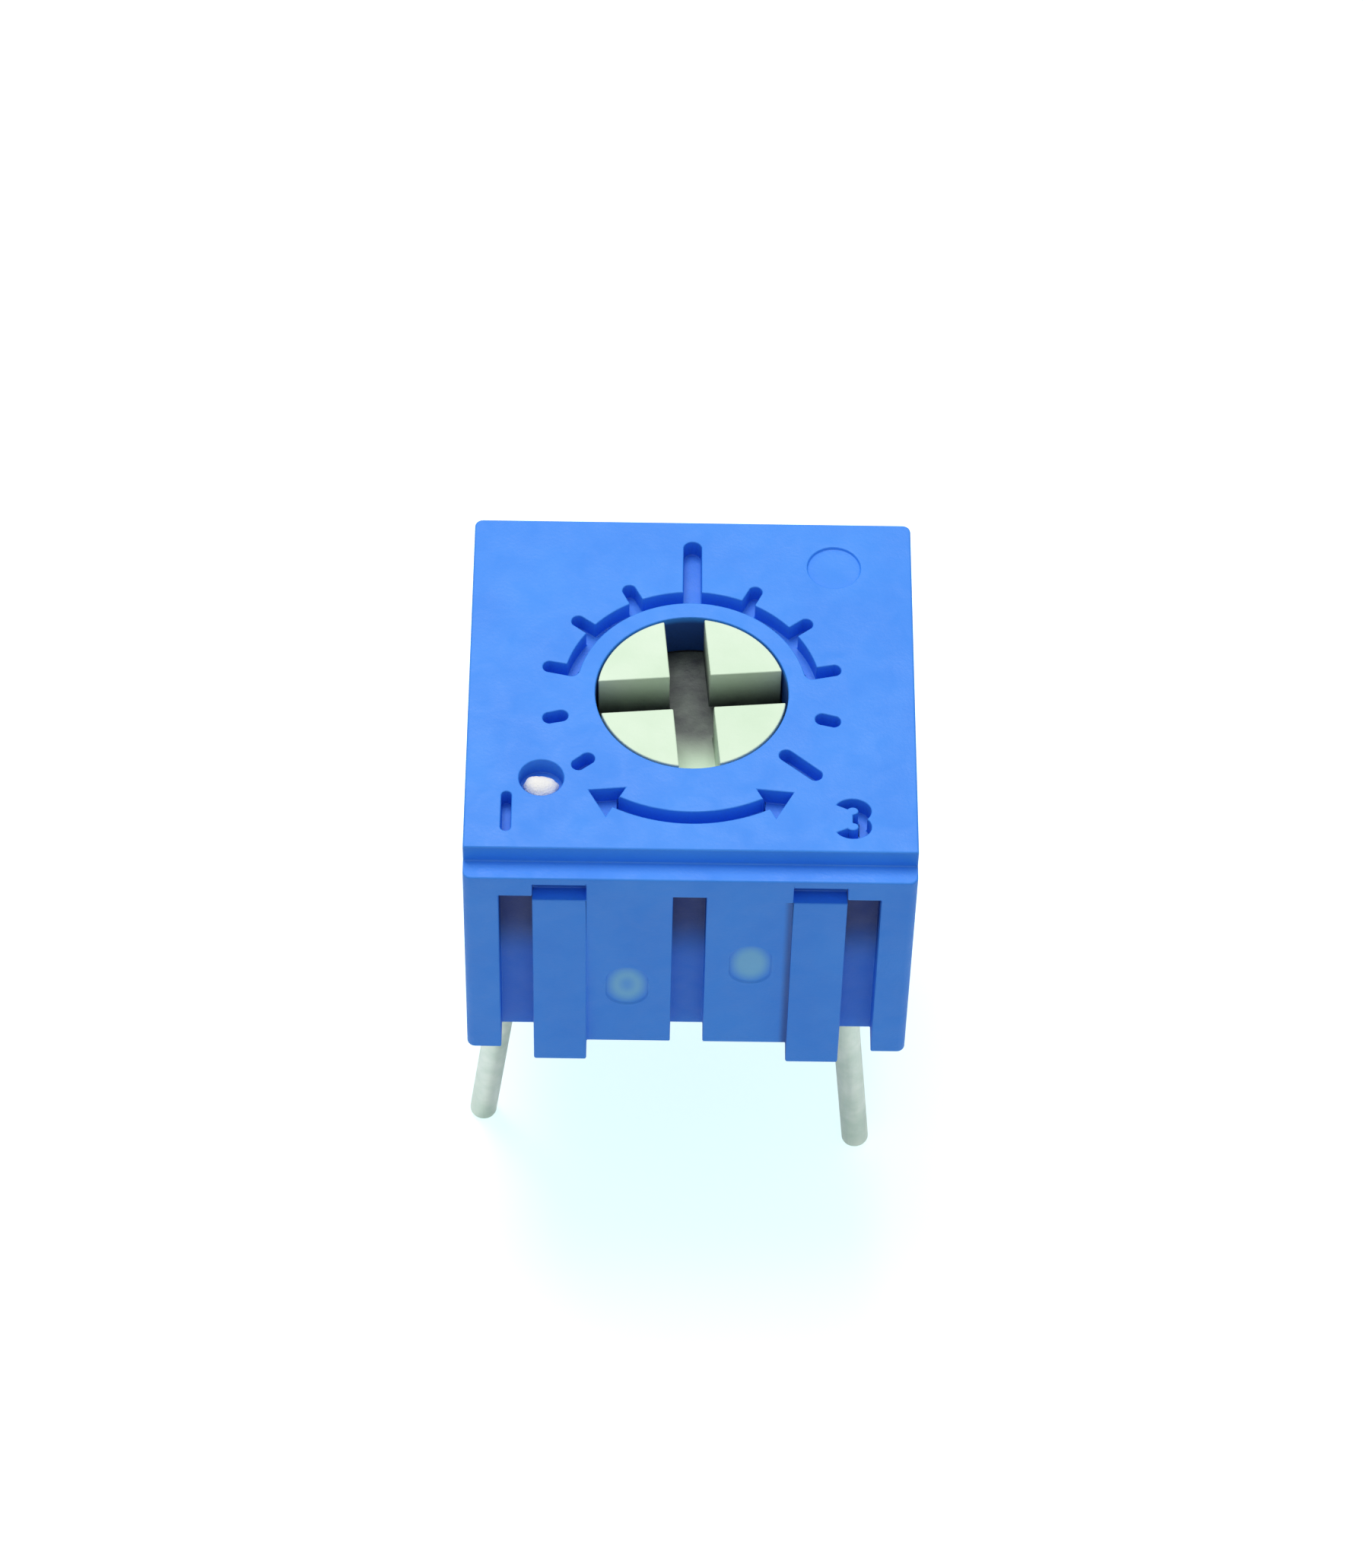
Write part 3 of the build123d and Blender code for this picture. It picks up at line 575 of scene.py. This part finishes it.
def top_cutters():
    """The scale, the pin numbers, the turning arrow, the gate recess and the round cavity mark."""
    floor_z, above = high.z - MARK_DEPTH, high.z + CUT
    spacing = SCALE_TRAVEL / (TICK_COUNT - 1)
    first = 90 + SCALE_TRAVEL / 2
    outer = SCALE_INNER + MARK_WIDTH
    side_start, side_length = SCALE_INNER + MARK_WIDTH * TICK_LEAD, TICK_REACH - MARK_WIDTH * TICK_LEAD
    cutters = [
        prism("arc", arc_band(SCALE_INNER, outer, first - 2 * spacing, -(SCALE_TRAVEL - 4 * spacing)), "Z", floor_z,
              above),
        ticks(first, -spacing, 2, side_start, side_length, MARK_WIDTH, case_plastic),
        ticks(first - 2 * spacing, -spacing, 7, SCALE_INNER + TICK_INSET, TICK_REACH - TICK_INSET, MARK_WIDTH,
              case_plastic),
        ticks(first - 9 * spacing, -spacing, 1, side_start, side_length, MARK_WIDTH, case_plastic),
        ticks(first - 10 * spacing, -spacing, 1, SCALE_INNER, END_TICK_REACH, MARK_WIDTH, case_plastic),
        ticks(90, 0, 1, SCALE_INNER + TICK_INSET, MIDDLE_TICK_REACH - TICK_INSET, MIDDLE_TICK_WIDTH,
              case_plastic),
    ]
    line = DIGIT_LINE
    x, y = ONE_PLACE
    one = circle(line / 2, x, y + ONE_REACH, 24, 0, 180) + circle(line / 2, x, y - ONE_REACH, 24, 180, 180)
    cutters.append(prism("one", one, "Z", floor_z, above))
    outer, inner, rise = (DIGIT_HEIGHT + line) / 4, (DIGIT_HEIGHT - 3 * line) / 4, (DIGIT_HEIGHT - line) / 4
    waist = math.degrees(math.asin(rise / outer))
    three = (circle(outer, 0, rise, ROUND, 150, -150 - waist)
             + circle(outer, 0, -rise, ROUND, waist, -150 - waist)[1:]
             + circle(inner, 0, -rise, ROUND, -150, 240) + circle(inner, 0, rise, ROUND, -90, 240))
    three = [(THREE_PLACE[0] + x * THREE_HALF_WIDTH / outer, y + THREE_PLACE[1]) for x, y in three]
    cutters.append(prism("three", three, "Z", floor_z, above))
    radius, half_angle, head = ARROW_RADIUS, ARROW_HALF_ANGLE, ARROW_HEAD
    arrow = prism("arrow", arc_band(radius - MARK_WIDTH / 2, radius + MARK_WIDTH / 2, 270 - half_angle,
                                    2 * half_angle), "Z", floor_z, above)
    heads = []
    for side in (-1, 1):
        angle = math.radians(270 + side * half_angle)
        away = Vector((math.cos(angle), math.sin(angle)))
        along = Vector((-away.y, away.x)) * side
        points = (away * (radius - head), away * (radius + head), away * radius + along * head * ARROW_HEAD_STRETCH)
        heads.append(prism("head", [tuple(p) for p in points], "Z", floor_z, above))
    cutters.append(mended(combined(arrow, heads, "UNION"), WELD * 2, True))
    gate = circle(GATE_RADIUS, *GATE_PLACE, SMALL_ROUND)
    cutters.append(prism("gate", gate, "Z", high.z - GATE_DEPTH, above))
    cavity = circle(CAVITY_RADIUS, *CAVITY_PLACE, SMALL_ROUND)
    cutters.append(prism("cavity_mark", cavity, "Z", high.z - CAVITY_DEPTH, above))
    return cutters


def hollow_cutters():
    """The element's pocket, the rotor's bore, its hole in the top plate and the seal's pocket."""
    plate_z = high.z - TOP_PLATE
    return [
        block(low.x + SIDE_WALL, high.x - SIDE_WALL, low.y + FRONT_WALL, high.y - REAR_WALL, low.z - CUT, ledge_z),
        prism("bore", circle(BORE_RADIUS), "Z", ledge_z - CUT, plate_z),
        prism("hole", circle(KNOB_RADIUS + RUNNING_GAP), "Z", plate_z - CUT, high.z + CUT),
        prism("seal", circle(SEAL_RADIUS), "Z", plate_z - CUT, plate_z + SEAL_DEPTH),
    ]


def eased(mesh, width_mm, angle=40.0):
    """Breaks the sharp edges of a mesh by a small width and smooths the shading over them."""
    obj = add_object("work", mended(mesh, WELD, True))
    bevel = obj.modifiers.new("edge", "BEVEL")
    bevel.width = width_mm
    bevel.segments = 2
    bevel.limit_method = "ANGLE"
    bevel.angle_limit = math.radians(angle)
    bevel.use_clamp_overlap = False
    graph = bpy.context.evaluated_depsgraph_get()
    done = bpy.data.meshes.new_from_object(obj.evaluated_get(graph))
    obj.data = mended(done, WELD / 4, False, high.z)
    obj.modifiers.clear()
    weight = obj.modifiers.new("weight", "WEIGHTED_NORMAL")
    weight.keep_sharp = False
    done.shade_smooth()
    graph = bpy.context.evaluated_depsgraph_get()
    done = bpy.data.meshes.new_from_object(obj.evaluated_get(graph))
    bpy.data.objects.remove(obj)
    return in_metres(done)


stop_band = arc_band(BORE_RADIUS - STOP_WIDTH, BORE_RADIUS + STOP_BITE, STOP_START, STOP_SWEEP)
shell = combined(case_block(), case_feet(), "UNION")
shell = combined(shell, hollow_cutters(), "DIFFERENCE")
shell = combined(shell, [prism("stop", stop_band, "Z", ledge_z, high.z - TOP_PLATE)], "UNION")
shell = combined(shell, front_cutters() + top_cutters(), "DIFFERENCE")
case = add_object("case_moulding", eased(shell, BROKEN_EDGE), case_plastic)
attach(case, "case")
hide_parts("housing")

# The runner was broken off inside the small recess, and its stub is left rough and dull.
# Its near-white colour is a painted highlight, standing in for the lamp's reflection in the recess.
STUB_HALF = (0.25, 0.22, 0.20)
STUB_FORWARD, STUB_DOWN = 0.05, 0.23
STUB_SWELL, STUB_ROUGH, STUB_WAVE = 0.04, 0.03, 0.03
stub_painted_highlight = fine_moulding("gate_stub_painted_highlight", "#FBFAF6", "#FFFFFF", 0.7, 0.03, 0.9)
bm = bmesh.new()
bmesh.ops.create_uvsphere(bm, u_segments=32, v_segments=16, radius=1.0)
random = np.random.default_rng(7)
for v in bm.verts:
    ripple = 1 + STUB_SWELL * math.sin(3 * math.atan2(v.co.y, v.co.x)) + STUB_ROUGH * random.standard_normal()
    v.co = Vector((v.co.x * STUB_HALF[0] * ripple, v.co.y * STUB_HALF[1] * ripple, v.co.z * STUB_HALF[2]))
    wave = STUB_WAVE * math.sin(9 * v.co.x + 4)
    v.co += Vector((GATE_PLACE[0], GATE_PLACE[1] - STUB_FORWARD, high.z - STUB_DOWN + wave))
stub = add_object("gate_stub", in_metres(closed_mesh("gate_stub", bm)), stub_painted_highlight)
stub.data.shade_smooth()
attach(stub, "case")

# ---------------------------------------------------------------- rotor
# The rotor is moulded in pale nylon. Its knob comes up flush through the case and is cross-slotted for a
# blade; below the plate it has a flange, a stop lug and the hub that carries the wiper.
SLOT_WIDTH, SLOT_DEPTH, SLOT_TURN = 0.60, 0.76, 5.0
FLANGE_RADIUS, LUG_RADIUS, LUG_WIDTH = 2.17, 2.51, 49.0
HUB_RADIUS = 0.45
FLANGE_GAP, FLANGE_THICKNESS = 0.05, 0.62
# Painted shade in the rotor's slots: how deep it runs and where it fades.
SLOT_SHADE_DEPTH = (0.02, 0.80)
SLOT_SHADE_FADE = (-0.95, -0.10)                  # the painted shade fades out towards the slots' near ends
rotor_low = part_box("rotor")[0] / MM
flange_top = high.z - TOP_PLATE - FLANGE_GAP
flange_bottom = flange_top - FLANGE_THICKNESS


def slot_painted_shade(tree, place, base):
    """Painted shade in the slots, deepening with the depth to their floors and fading towards their near ends."""
    split = add_node(tree, "ShaderNodeSeparateXYZ", None, Vector=place)
    depth = add_node(tree, "ShaderNodeMapRange", {"interpolation_type": "SMOOTHSTEP"}, Value=split.outputs["Z"],
                     From_Min=(high.z - SLOT_SHADE_DEPTH[0]) * MM, From_Max=(high.z - SLOT_SHADE_DEPTH[1]) * MM)
    patch = add_node(tree, "ShaderNodeTexNoise", None, Vector=place, Scale=3.5 / MM, Detail=3.0)
    share = add_node(tree, "ShaderNodeMapRange", None, Value=patch.outputs[0], From_Min=0.25, From_Max=0.75,
                     To_Min=0.90, To_Max=1.0)
    # The painted shade fades out towards the near end, where light reaches the slot floor.
    shade_fade = add_node(tree, "ShaderNodeMapRange", {"interpolation_type": "SMOOTHSTEP"}, Value=split.outputs["Y"],
                    From_Min=SLOT_SHADE_FADE[0] * MM, From_Max=SLOT_SHADE_FADE[1] * MM, To_Min=0.0, To_Max=1.0)
    amount = add_node(tree, "ShaderNodeMath", {"operation": "MULTIPLY"}, i0=depth.outputs[0], i1=share.outputs[0])
    amount = add_node(tree, "ShaderNodeMath", {"operation": "MULTIPLY"}, i0=amount.outputs[0], i1=shade_fade.outputs[0])
    return add_node(tree, "ShaderNodeMix", {"data_type": "RGBA"}, Factor=amount.outputs[0], i6=base,
                    i7=linear("#101820")).outputs[2]


# Natural nylon, moulded: pale with a green-ivory cast and a satin skin; dark grey painted shade lies in the slots.
rotor_plastic = fine_moulding("moulded_ivory_nylon", "#DAF2D6", "#E4F8E0", 0.48, 0.06, 0.3, slot_painted_shade)
bar = block(-2, 2, -SLOT_WIDTH / 2, SLOT_WIDTH / 2, high.z - SLOT_DEPTH, high.z + CUT)
cross_bar = block(-SLOT_WIDTH / 2, SLOT_WIDTH / 2, -2, 2, high.z - SLOT_DEPTH, high.z + CUT)
for cutter in (bar, cross_bar):
    cutter.transform(Matrix.Rotation(math.radians(SLOT_TURN), 4, "Z"))
body = prism("rotor", circle(KNOB_RADIUS), "Z", flange_bottom, high.z)
lug = arc_band(FLANGE_RADIUS - CUT, LUG_RADIUS, 90 + SLOT_TURN - LUG_WIDTH / 2, LUG_WIDTH)
body = combined(body, [
    prism("flange", circle(FLANGE_RADIUS), "Z", flange_bottom, flange_top),
    prism("lug", lug, "Z", flange_bottom, flange_top),
    prism("hub", circle(HUB_RADIUS, 0, 0, 48), "Z", rotor_low.z, flange_bottom + 0.1),
], "UNION")
body = combined(body, [bar, cross_bar], "DIFFERENCE")
rotor = add_object("rotor_moulding", eased(body, BROKEN_EDGE), rotor_plastic)
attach(rotor, "rotor")
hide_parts("rotor")

# ---------------------------------------------------------------- pins
# Three drawn copper wires, hot-dipped in tin and cut off square. Each has a flat head on the substrate and
# leaves the resin straight; the left one was bent outwards and to the rear in handling.
PIN_RADIUS = 0.21
PIN_KINK_Z = -0.35
PIN_BEND_RADIUS = 0.9
PIN_ROLL, ROLL_STEPS = 0.05, (0, 0.5, 1.0, math.pi / 2)
PIN_ROW = 1.27                               # from the front face to pins 1 and 3
HEAD_RADIUS, HEAD_THICKNESS = 0.27, 0.145
WIRE_INTO_HEAD, WIRE_OFF_FLOOR = 0.14, 0.04
PINS = {
    "pin_1": ((-0.26, 0.16), (-0.63, 0.45)),
    "pin_2": ((0.0, -0.05), (0.0, 0.15)),
    "pin_3": ((-0.10, 0.0), (0.20, 0.0)),
}
PIN_AT = {
    "pin_1": (-PITCH, face_y + PIN_ROW),
    "pin_2": (0.0, face_y + PIN_ROW + PITCH),
    "pin_3": (PITCH, face_y + PIN_ROW),
}
resin_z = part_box("potting_resin")[0].z / MM


def bent_line(corners, radius, steps=10):
    """Points along a line whose inner corners are rounded to a radius."""
    points = [corners[0]]
    for before, corner, after in zip(corners, corners[1:], corners[2:]):
        arrive, leave = (corner - before).normalized(), (after - corner).normalized()
        turn = arrive.angle(leave)
        reach = radius * math.tan(turn / 2)
        for i in range(steps + 1):
            share = i / steps
            a = corner - arrive * reach * (1 - share)
            b = corner + leave * reach * share
            points.append(a.lerp(b, share))
    points.append(corners[-1])
    return points


def wire(name, corners, radius, material, sides=40):
    """A round wire along a bent line, with its cut end slightly rolled."""
    points = bent_line(corners, PIN_BEND_RADIUS)
    end = (points[-1] - points[-2]).normalized()
    points = points[:-1] + [points[-1] - end * PIN_ROLL * (1 - math.sin(t)) for t in ROLL_STEPS]
    sizes = [radius] * (len(points) - len(ROLL_STEPS)) + [radius - PIN_ROLL * (1 - math.cos(t)) for t in ROLL_STEPS]
    bm = bmesh.new()
    rings = []
    side = Vector((1, 0, 0))
    for i, point in enumerate(points):
        along = (points[min(i + 1, len(points) - 1)] - points[max(i - 1, 0)]).normalized()
        side = (side - along * side.dot(along)).normalized()
        over = along.cross(side)
        rings.append([bm.verts.new(point + (side * math.cos(a) + over * math.sin(a)) * sizes[i])
                      for a in (2 * math.pi * k / sides for k in range(sides))])
    for one, two in zip(rings, rings[1:]):
        for k in range(sides):
            bm.faces.new((one[k], one[(k + 1) % sides], two[(k + 1) % sides], two[k]))
    bm.faces.new(rings[0])
    bm.faces.new(rings[-1])
    obj = add_object(name, in_metres(closed_mesh(name, bm)), material)
    obj.data.shade_smooth()
    obj.data.set_sharp_from_angle(angle=math.radians(50))
    return obj


def tinned(name, colour, dark, roughness, stripe):
    """Hot-dipped tin: soft grey metal with drawing lines along it and dull, slightly lumpy patches."""
    material, tree, out = new_material(name)
    place = add_node(tree, "ShaderNodeTexCoord").outputs["Object"]
    long = add_node(tree, "ShaderNodeMapping", None, Vector=place, Scale=(1, 1, stripe))
    lines = add_node(tree, "ShaderNodeTexNoise", None, Vector=long.outputs[0], Scale=14 / MM, Detail=3.0)
    lumps = add_node(tree, "ShaderNodeTexNoise", None, Vector=place, Scale=3.0 / MM, Detail=4.0)
    tone = add_node(tree, "ShaderNodeMapRange", None, Value=lumps.outputs[0], From_Min=0.35, From_Max=0.70)
    base = add_node(tree, "ShaderNodeMix", {"data_type": "RGBA"}, Factor=tone.outputs[0], i6=linear(colour),
                    i7=linear(dark))
    rough = add_node(tree, "ShaderNodeMapRange", None, Value=lines.outputs[0], From_Min=0.3, From_Max=0.7,
                     To_Min=roughness - 0.08, To_Max=roughness + 0.12)
    relief = add_node(tree, "ShaderNodeBump", None, Strength=0.35, Distance=0.01 * MM, Height=lines.outputs[0])
    swell = add_node(tree, "ShaderNodeBump", None, Strength=0.5, Distance=0.02 * MM, Height=lumps.outputs[0],
                     Normal=relief.outputs[0])
    shader = add_node(tree, "ShaderNodeBsdfPrincipled", None, Base_Color=base.outputs[2], Metallic=1.0,
                      Roughness=rough.outputs[0], Normal=swell.outputs[0])
    tree.links.new(shader.outputs[0], out.inputs["Surface"])
    return material


# Tin over copper wire: a pale grey-green metal, dull from handling. The drawing lines are 0.07 mm apart.
tinned_wire = tinned("dipped_tin_wire", "#F4FAF0", "#DFECDF", 0.40, 0.08)
head_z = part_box("pin_2")[1].z / MM
for name, (kink, end) in PINS.items():
    x, y = PIN_AT[name]
    corners = [Vector((x, y, head_z - WIRE_INTO_HEAD)), Vector((x, y, resin_z)),
               Vector((x + kink[0], y + kink[1], PIN_KINK_Z)),
               Vector((x + end[0], y + end[1], floor_z / MM + WIRE_OFF_FLOOR))]
    pin = wire(name + "_wire", corners, PIN_RADIUS, tinned_wire)
    disc = prism("head", circle(HEAD_RADIUS, x, y, 48), "Z", head_z - HEAD_THICKNESS, head_z)
    head = add_object(name + "_head", in_metres(disc), tinned_wire)
    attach(pin, "case")
    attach(head, "case")
    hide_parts(name)

# ---------------------------------------------------------------- potting resin
# Blue-black epoxy poured in from below. It has crept up the walls and the wires before it set, so its
# surface is glossy and dished, with a small collar round each wire.
resin_low, resin_high = (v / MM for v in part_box("potting_resin"))
RESIN_CELLS = 90
CREEP, CREEP_REACH, POUR_LEVEL = 0.09, 0.22, 0.06
material, tree, out = new_material("cast_dark_epoxy")
place = add_node(tree, "ShaderNodeTexCoord").outputs["Object"]
flow = add_node(tree, "ShaderNodeTexNoise", None, Vector=place, Scale=0.8 / MM, Detail=3.0, Distortion=1.0)
tone = add_node(tree, "ShaderNodeMix", {"data_type": "RGBA"}, Factor=flow.outputs[0], i6=linear("#142544"),
                i7=linear("#22406E"))
dust = add_node(tree, "ShaderNodeTexNoise", None, Vector=place, Scale=9 / MM, Detail=3.0)
rough = add_node(tree, "ShaderNodeMapRange", None, Value=dust.outputs[0], From_Min=0.4, From_Max=0.75, To_Min=0.10,
                 To_Max=0.34)
relief = add_node(tree, "ShaderNodeBump", None, Strength=0.4, Distance=0.03 * MM, Height=flow.outputs[0])
shader = add_node(tree, "ShaderNodeBsdfPrincipled", None, Base_Color=tone.outputs[2], Roughness=rough.outputs[0],
                  IOR=1.55, Normal=relief.outputs[0])
tree.links.new(shader.outputs[0], out.inputs["Surface"])
resin_skin = material
bm = bmesh.new()
bmesh.ops.create_grid(bm, x_segments=RESIN_CELLS, y_segments=RESIN_CELLS, size=0.5)
size = resin_high - resin_low
middle = (resin_high + resin_low) / 2
for v in bm.verts:
    x, y = middle.x + v.co.x * size.x, middle.y + v.co.y * size.y
    wall = min(x - resin_low.x, resin_high.x - x, y - resin_low.y, resin_high.y - y)
    wire_gap = min(math.hypot(x - px, y - py) for px, py in PIN_AT.values()) - PIN_RADIUS
    rise = CREEP * math.exp(-max(wall, 0) / CREEP_REACH) + CREEP * math.exp(-max(wire_gap, 0) / (CREEP_REACH / 2))
    v.co = Vector((x, y, resin_low.z + POUR_LEVEL - min(rise, CREEP)))
rim = [e for e in bm.edges if e.is_boundary]
walls = bmesh.ops.extrude_edge_only(bm, edges=rim)["geom"]
lifted = [g for g in walls if isinstance(g, bmesh.types.BMVert)]
for v in lifted:
    v.co.z = resin_high.z
bmesh.ops.holes_fill(bm, edges=[e for e in bm.edges if e.is_boundary], sides=0)
resin = add_object("resin_fill", in_metres(closed_mesh("resin_fill", bm)), resin_skin)
resin.data.shade_smooth()
resin.data.set_sharp_from_angle(angle=math.radians(50))
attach(resin, "case")
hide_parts("potting_resin")

# ---------------------------------------------------------------- inside pieces
# The sealed inside keeps its modelled shapes: silicone ring, stamped wiper, alumina plate with its fired
# films, and the solder joints. None of it shows while the case is whole.
silicone = fine_moulding("moulded_grey_silicone", "#3A4048", "#464C54", 0.5, 0.05, 0.2)
alumina = fine_moulding("fired_alumina", "#EDEAE0", "#F6F4EC", 0.65, 0.03, 0.5)
cermet = fine_moulding("fired_cermet_film", "#15151A", "#202026", 0.45, 0.03, 0.4)
silver = tinned("fired_silver_film", "#CFCBC2", "#B8B3A8", 0.4, 1.0)
solder = tinned("reflowed_solder", "#C4C8CC", "#AEB3B8", 0.22, 1.0)
spring = tinned("plated_spring_bronze", "#DDC07A", "#C9A65E", 0.28, 0.2)
INSIDE = {
    "seal_ring": silicone, "wiper": spring, "substrate": alumina, "resistive_track": cermet, "collector": silver,
    "end_pad_1": silver, "end_pad_3": silver, "solder_1": solder, "solder_2": solder, "solder_3": solder,
}
for name, material in INSIDE.items():
    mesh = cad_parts[name].data
    mesh.materials.clear()
    mesh.materials.append(material)
